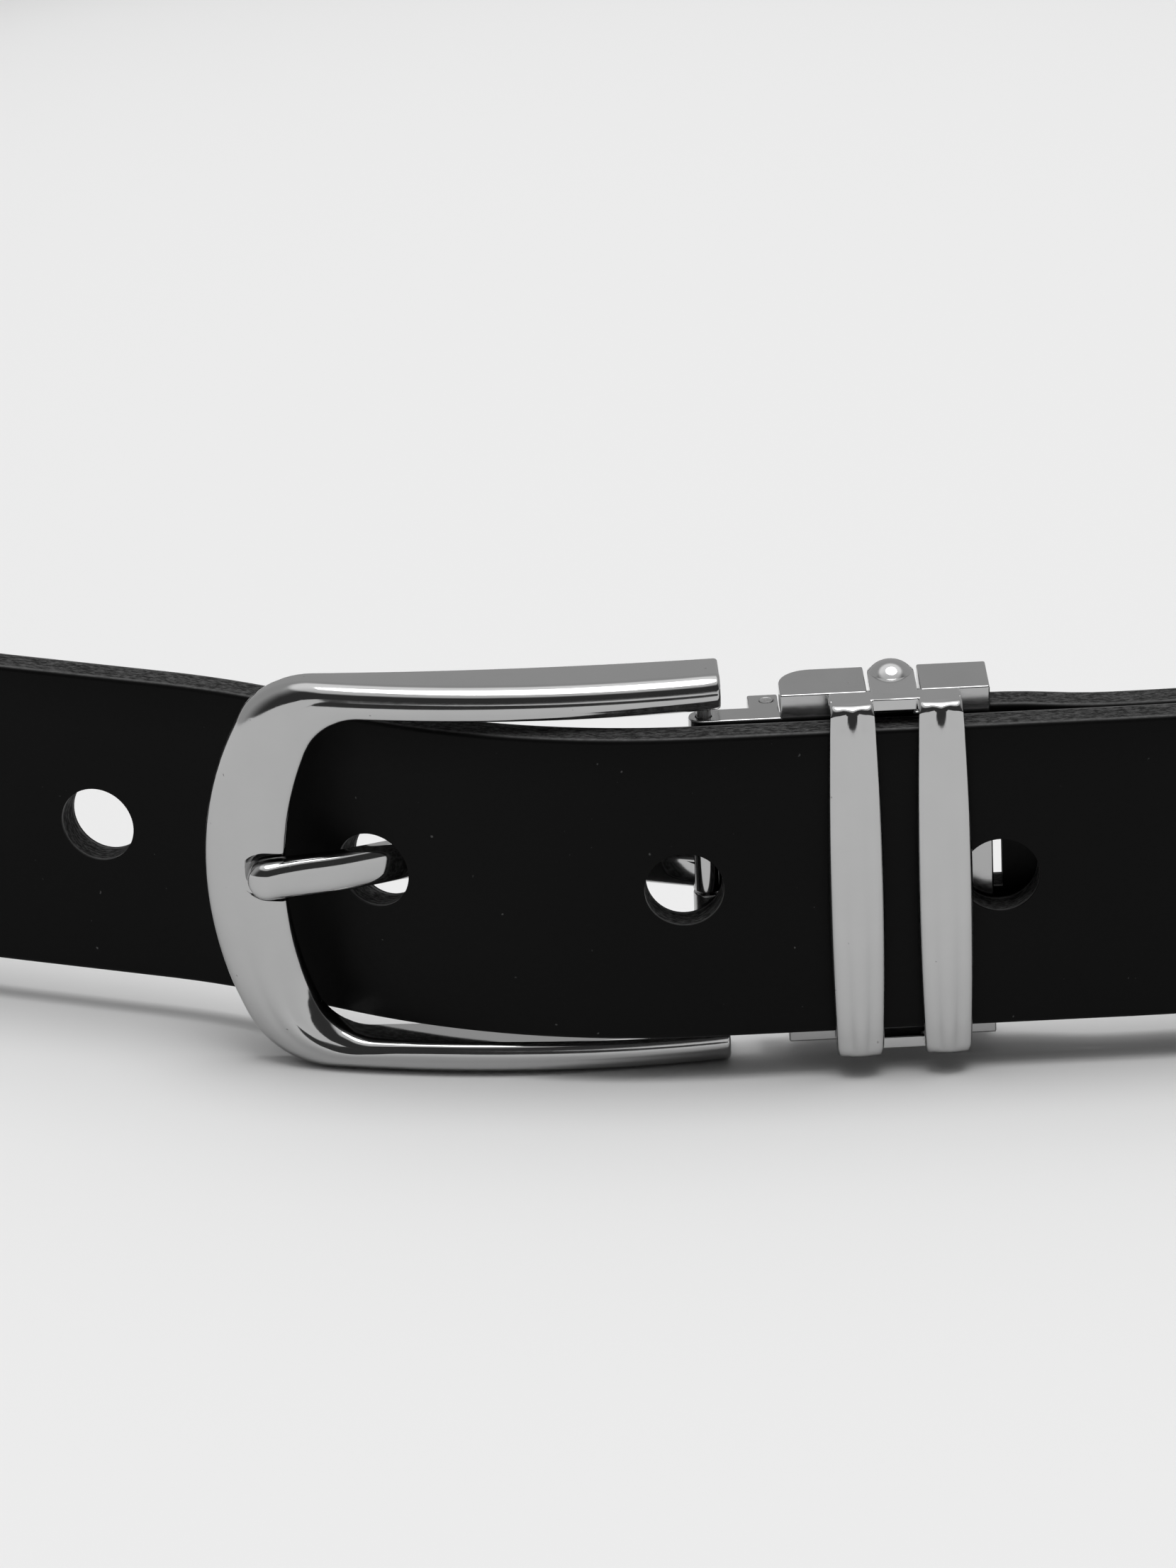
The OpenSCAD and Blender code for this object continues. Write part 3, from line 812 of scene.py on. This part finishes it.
def buckle_frame():
    """The cast frame: open at its right end, with seats for the axle and a hollow for the prong."""
    outer = whole_outline(FRAME_LEFT, LEG_PAST, FRAME_H, FRAME_CORNER)
    inner = whole_outline(OPENING_LEFT, LEG_PAST, OPENING_H, OPENING_CORNER)
    piece = loft("buckle_frame_plated", [frame_ring(o, i) for o, i in zip(outer, inner)])
    bevel_edges(piece, LEG_END_ROUND, 3, lambda e: is_sharp(e, 50)
                and middle_of(e).x > LEG_PAST - MM / 100)
    combine(piece, rod("axle seat", (0, AXLE_Y, 0), AXLE_D / 2, OPENING_H + 2 * AXLE_SEAT))
    combine(piece, rest_hollow())
    return smooth(piece)


place(buckle_frame(), "frame", "polished_frame", FRAME_PLATE, "buckle_frame")


# ---- Prong ----

PRONG_RINGS, TIP_RINGS, PRONG_SIDES = 44, 12, 40
TIP_SWELL, TIP_SWELL_LEN = 0.5 * MM, 5 * MM
# Powers that square off a round section: at its sides, over its front and over its back
SIDE_POWER, FRONT_POWER, BACK_POWER = 0.62, 0.8, 0.4
SMALLEST_RING = 0.02


def prong_ring(along, shrink, swell):
    """One section of the straight prong: flat behind, rounded at the sides, crowned in front."""
    points = []
    for k in range(PRONG_SIDES):
        a = 2 * math.pi * k / PRONG_SIDES
        across, out = math.cos(a), math.sin(a)
        across = math.copysign(abs(across) ** SIDE_POWER, across) * PRONG_W / 2
        out = math.copysign(abs(out) ** (FRONT_POWER if out > 0 else BACK_POWER), out)
        out *= PRONG_T / 2 + (swell if out > 0 else 0)
        points.append((along, out * shrink, across * shrink))
    return points


def prong():
    """The prong, made straight with its front on the left, then bent and hung on its knuckle."""
    tip_start, tip_long = prong_length, PRONG_W / 2
    rings = []
    for k in range(PRONG_RINGS):
        along = tip_start * k / PRONG_RINGS
        swell = max(0, 1 - (tip_start - along) / TIP_SWELL_LEN)
        rings.append(prong_ring(along, 1, TIP_SWELL * swell ** 2))
    for k in range(TIP_RINGS):
        a = math.pi / 2 * k / TIP_RINGS
        rings.append(prong_ring(tip_start + tip_long * math.sin(a),
                                max(math.cos(a), SMALLEST_RING), TIP_SWELL * math.cos(a)))
    piece = loft("prong_plated", rings)
    bend(piece, prong_start, prong_run, prong_length)
    combine(piece, rod("knuckle", (0, AXLE_Y, 0), KNUCKLE_R, PRONG_W), "UNION")
    combine(piece, rod("bore", (0, AXLE_Y, 0), AXLE_D / 2 + RUNNING_FIT, 2 * PRONG_W))
    return smooth(piece, 45)


place(prong(), "prong", "polished_frame", FRAME_PLATE, "prong")


# ---- Keeper ----

# How far the bars' fronts draw back at their tops and feet, and stand out along their middles
BAR_BOW, FOOT_BOW = 1.25 * MM, 0.8 * MM
BAR_CROWN = 0.4 * MM
# Radii of their bends
TOP_BEND, FOOT_BEND = 0.9 * MM, 1.3 * MM
BAR_BACK = -SOFT_GAP
BACK_LEAN = 0.1 * MM
LEVEL_STEPS, BEND_STEPS, SHANK_STEPS, EDGE_STEPS = 6, 8, 26, 6
# Rounds of a bar's long edges: on its level ends, and how much wider and deeper on its shank
LEVEL_EDGE, SHANK_EDGE_W, SHANK_EDGE_D = 0.3 * MM, 1 * MM, 0.8 * MM
BAR_BACK_ROUND = 0.12 * MM
PLATE_ROUND = 0.15 * MM


def bar_section(x, outer, inner, roundness):
    """One section of a bar, between its outer point and its inner one, both (y, z).

    roundness goes from 0, square and flat, to 1, with full edges and crown.
    """
    away = outer[1] - KEEPER_LOW
    half = KEEPER_BAR_W / 2 - (KEEPER_BAR_R - math.sqrt(KEEPER_BAR_R ** 2 - away ** 2))
    thick = math.dist(outer, inner)
    edge_w = LEVEL_EDGE + SHANK_EDGE_W * roundness
    edge_d = min(LEVEL_EDGE + SHANK_EDGE_D * roundness, 0.6 * thick)
    flat = half - edge_w
    back_corner = [(half - BAR_BACK_ROUND, thick), (half, thick - BAR_BACK_ROUND)]
    edge = [(flat + edge_w * across, edge_d * (1 + depth))
            for across, depth in round_corner((0, 0), 1, 0, -90, EDGE_STEPS)]
    one_side = back_corner + edge
    section = (one_side + crown(flat, -flat, BAR_CROWN * roundness)
               + [(-across, depth) for across, depth in reversed(one_side)])
    return [(x + across, outer[0] + (inner[0] - outer[0]) * depth / thick,
             outer[1] + (inner[1] - outer[1]) * depth / thick) for across, depth in section]


def keeper_bar(x):
    """One bar: forward over the strap, down its front and back under it."""
    reach = KEEPER_TOP - KEEPER_LOW

    def front(z):
        """How far forward a bar's long edges lie at a height."""
        share = (z - KEEPER_LOW) / reach
        return KEEPER_FRONT + BAR_CROWN + (BAR_BOW if z > KEEPER_LOW else FOOT_BOW) * share ** 2

    ends = []
    for side, r in ((1, TOP_BEND), (-1, FOOT_BEND)):
        end = side * KEEPER_TOP
        bend_y, bend_z = front(end) + r, end - side * r
        run = []
        for k in range(LEVEL_STEPS):
            share = k / LEVEL_STEPS
            run.append(((KEEPER_BACK + (bend_y - KEEPER_BACK) * share, end),
                        (KEEPER_BACK + (BAR_BACK + BACK_LEAN - KEEPER_BACK) * share,
                         side * TONGUE_Z), 0.0))
        for k in range(BEND_STEPS + 1):
            a = math.pi / 2 * k / BEND_STEPS
            run.append(((bend_y - r * math.sin(a), bend_z + side * r * math.cos(a)),
                        (BAR_BACK + BACK_LEAN * (1 - math.sin(a)),
                         side * (TONGUE_Z - BACK_LEAN * (1 - math.cos(a)))), k / BEND_STEPS))
        ends.append(run)
    high, low = KEEPER_TOP - TOP_BEND, -KEEPER_TOP + FOOT_BEND
    shank = []
    for k in range(1, SHANK_STEPS):
        z = high + (low - high) * k / SHANK_STEPS
        inner_z = (TONGUE_Z - BACK_LEAN) * (1 - 2 * k / SHANK_STEPS)
        shank.append(((front(z), z), (BAR_BACK, inner_z), 1.0))
    stations = ends[0] + shank + list(reversed(ends[1]))
    return loft("keeper bar", [bar_section(x, *station) for station in stations])


def keeper():
    """Two bars, with a plate and a rounded tab that join them above and below the strap."""
    piece = keeper_bar(KEEPER_X + KEEPER_BAR_W / 2)
    piece.name = piece.data.name = "keeper_plated"
    combine(piece, keeper_bar(KEEPER_X + KEEPER_W - KEEPER_BAR_W / 2), "UNION")
    for side in (-1, 1):
        z = sorted((side * TONGUE_Z, side * KEEPER_TOP))
        plate = block("plate", (KEEPER_X + PLATE_INSET, KEEPER_BACK - KEEPER_BRIDGE, z[0]),
                      (KEEPER_X + KEEPER_W - PLATE_INSET, KEEPER_BACK, z[1]))
        tab = block("tab", (KEEPER_MID - TAB_W / 2, KEEPER_BACK - KEEPER_BRIDGE, z[0]),
                    (KEEPER_MID + TAB_W / 2, TAB_END, z[1]))
        bevel_edges(tab, 0.98 * TAB_W / 2, 12, lambda e: runs_along(e, UP_AXIS)
                    and middle_of(e).y > TAB_END - MM / 10)
        combine(soften(plate, PLATE_ROUND), soften(tab, PLATE_ROUND), "UNION")
        combine(piece, plate, "UNION")
    combine(piece, rod("rivet hole", (KEEPER_MID, RIVET_Y, 0), RIVET_D / 2, 4 * KEEPER_TOP,
                       sides=RIVET_SIDES))
    piece.data.validate()
    return smooth(piece)


place(keeper(), "belt", "polished_keeper", KEEPER_PLATE, "keeper")


# ---- Clamp, pins and rivets ----

BASE_ROUND, JAW_ROUND = 0.18 * MM, 0.12 * MM


def rounded_copy(node, name, width):
    """A node's own shape with its corners softened."""
    pick(frame["nodes"][node])
    bpy.ops.object.duplicate()
    piece = new_piece(name)
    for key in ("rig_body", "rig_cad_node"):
        if key in piece:
            del piece[key]
    piece.parent = None
    piece.matrix_world = Matrix.Identity(4)
    tidy_mesh(piece, 0.005 * MM, 0.5)
    soften(piece, width, 2, 45)
    piece.data.transform(BUCKLE.inverted())
    return smooth(piece)


place(rounded_copy("clamp_base", "clamp_plated", BASE_ROUND), "belt", "clamp_metal",
      CLAMP_PLATE, "clamp_base")
place(rounded_copy("clamp_jaw", "jaw_plated", JAW_ROUND), "jaw", "clamp_metal",
      CLAMP_PLATE, "clamp_jaw")

for node, material in (("axle_pin", STEEL), ("jaw_pin", STEEL),
                       ("keeper_rivet_top", KEEPER_PLATE), ("keeper_rivet_bottom", KEEPER_PLATE)):
    slots = frame["nodes"][node].data.materials
    slots.clear()
    slots.append(material)


# ---- Floor, light and camera ----

# Greys of the paper that the belt stands on, and of the paper as the world shows it further off
FLOOR_GREY, BACKDROP_GREY = 0.79, 0.83
FLOOR_SIZE = 12
# What the metal mirrors: dim all round, brighter behind the belt and brightest overhead. Each edge
# is where that light begins and where it is full, on a unit sphere
BASE_LEVEL, BEHIND_LEVEL, OVERHEAD_LEVEL = 0.05, 0.42, 0.75
BEHIND_EDGE, OVERHEAD_EDGE, HORIZON_EDGE = (-0.45, 0.2), (0.7, 0.84), (-0.02, 0.02)

bpy.ops.object.select_all(action="DESELECT")
bpy.ops.mesh.primitive_plane_add(size=FLOOR_SIZE, location=(0, 0, 0))
floor = new_piece("floor")
paper = new_finish("floor paper")
floor.data.materials.append(paper.set(Base_Color=grey(FLOOR_GREY), Roughness=0.9,
                                      Specular_IOR_Level=0.0))

world = bpy.data.worlds.new("studio")
bpy.context.scene.world = world
studio = Finish(world)
way = studio.node("ShaderNodeTexCoord", output="Generated")
split = studio.node("ShaderNodeSeparateXYZ", {}, {0: way})
toward = Wire(studio.tree, split.socket.node.outputs["Y"])
height = Wire(studio.tree, split.socket.node.outputs["Z"])
behind = studio.between(toward, *BEHIND_EDGE)
overhead = studio.between(height, *OVERHEAD_EDGE)
level = BASE_LEVEL + behind * BEHIND_LEVEL + overhead * OVERHEAD_LEVEL
sky = studio.between(height, *HORIZON_EDGE)
seen = studio.node("ShaderNodeLightPath", output="Is Camera Ray")
shown = level * sky + (1 - sky) * BACKDROP_GREY
shown = shown * (1 - seen) + seen * BACKDROP_GREY
background = studio.tree.nodes["Background"]
feed(studio.tree, background.inputs["Color"], shown)
background.inputs["Strength"].default_value = 1.0

# A broad soft light, almost overhead
KEY_TOWARDS = Vector((0.06, -0.02, 1.0))
KEY_ENERGY = 1.5
KEY_SPREAD = 38

bpy.ops.object.light_add(type="SUN", location=KEY_TOWARDS)
key = bpy.context.active_object
key.name = "key light"
key.rotation_mode = "QUATERNION"
key.rotation_quaternion = KEY_TOWARDS.to_track_quat("Z", "Y")
key.data.energy = KEY_ENERGY
key.data.angle = math.radians(KEY_SPREAD)

# The camera stands in the buckle's axes, far off, with a long lens. Angles are in degrees
LENS, SENSOR = 260.4, 36
CAMERA_YAW, CAMERA_PITCH, CAMERA_ROLL = 1.86, 23.29, -2.0
camera_place = Vector((-41.75, -949.26, 419.88)) * MM
yaw, pitch, roll = (math.radians(a) for a in (CAMERA_YAW, CAMERA_PITCH, CAMERA_ROLL))
forward = Vector((math.sin(yaw) * math.cos(pitch), math.cos(yaw) * math.cos(pitch),
                  -math.sin(pitch)))
right = Vector((math.cos(yaw), -math.sin(yaw), 0))
above = right.cross(forward)
rolled_right = right * math.cos(roll) + above * math.sin(roll)
rolled_up = above * math.cos(roll) - right * math.sin(roll)
bpy.ops.object.camera_add()
camera = bpy.context.active_object
camera.matrix_world = (BUCKLE @ Matrix.Translation(camera_place)
                       @ Matrix((rolled_right, rolled_up, -forward)).transposed().to_4x4())
camera.data.lens = LENS
camera.data.sensor_width = SENSOR
camera.data.clip_start = 0.01
camera.data.clip_end = 100
bpy.context.scene.camera = camera
bpy.context.scene.view_settings.view_transform = "Standard"
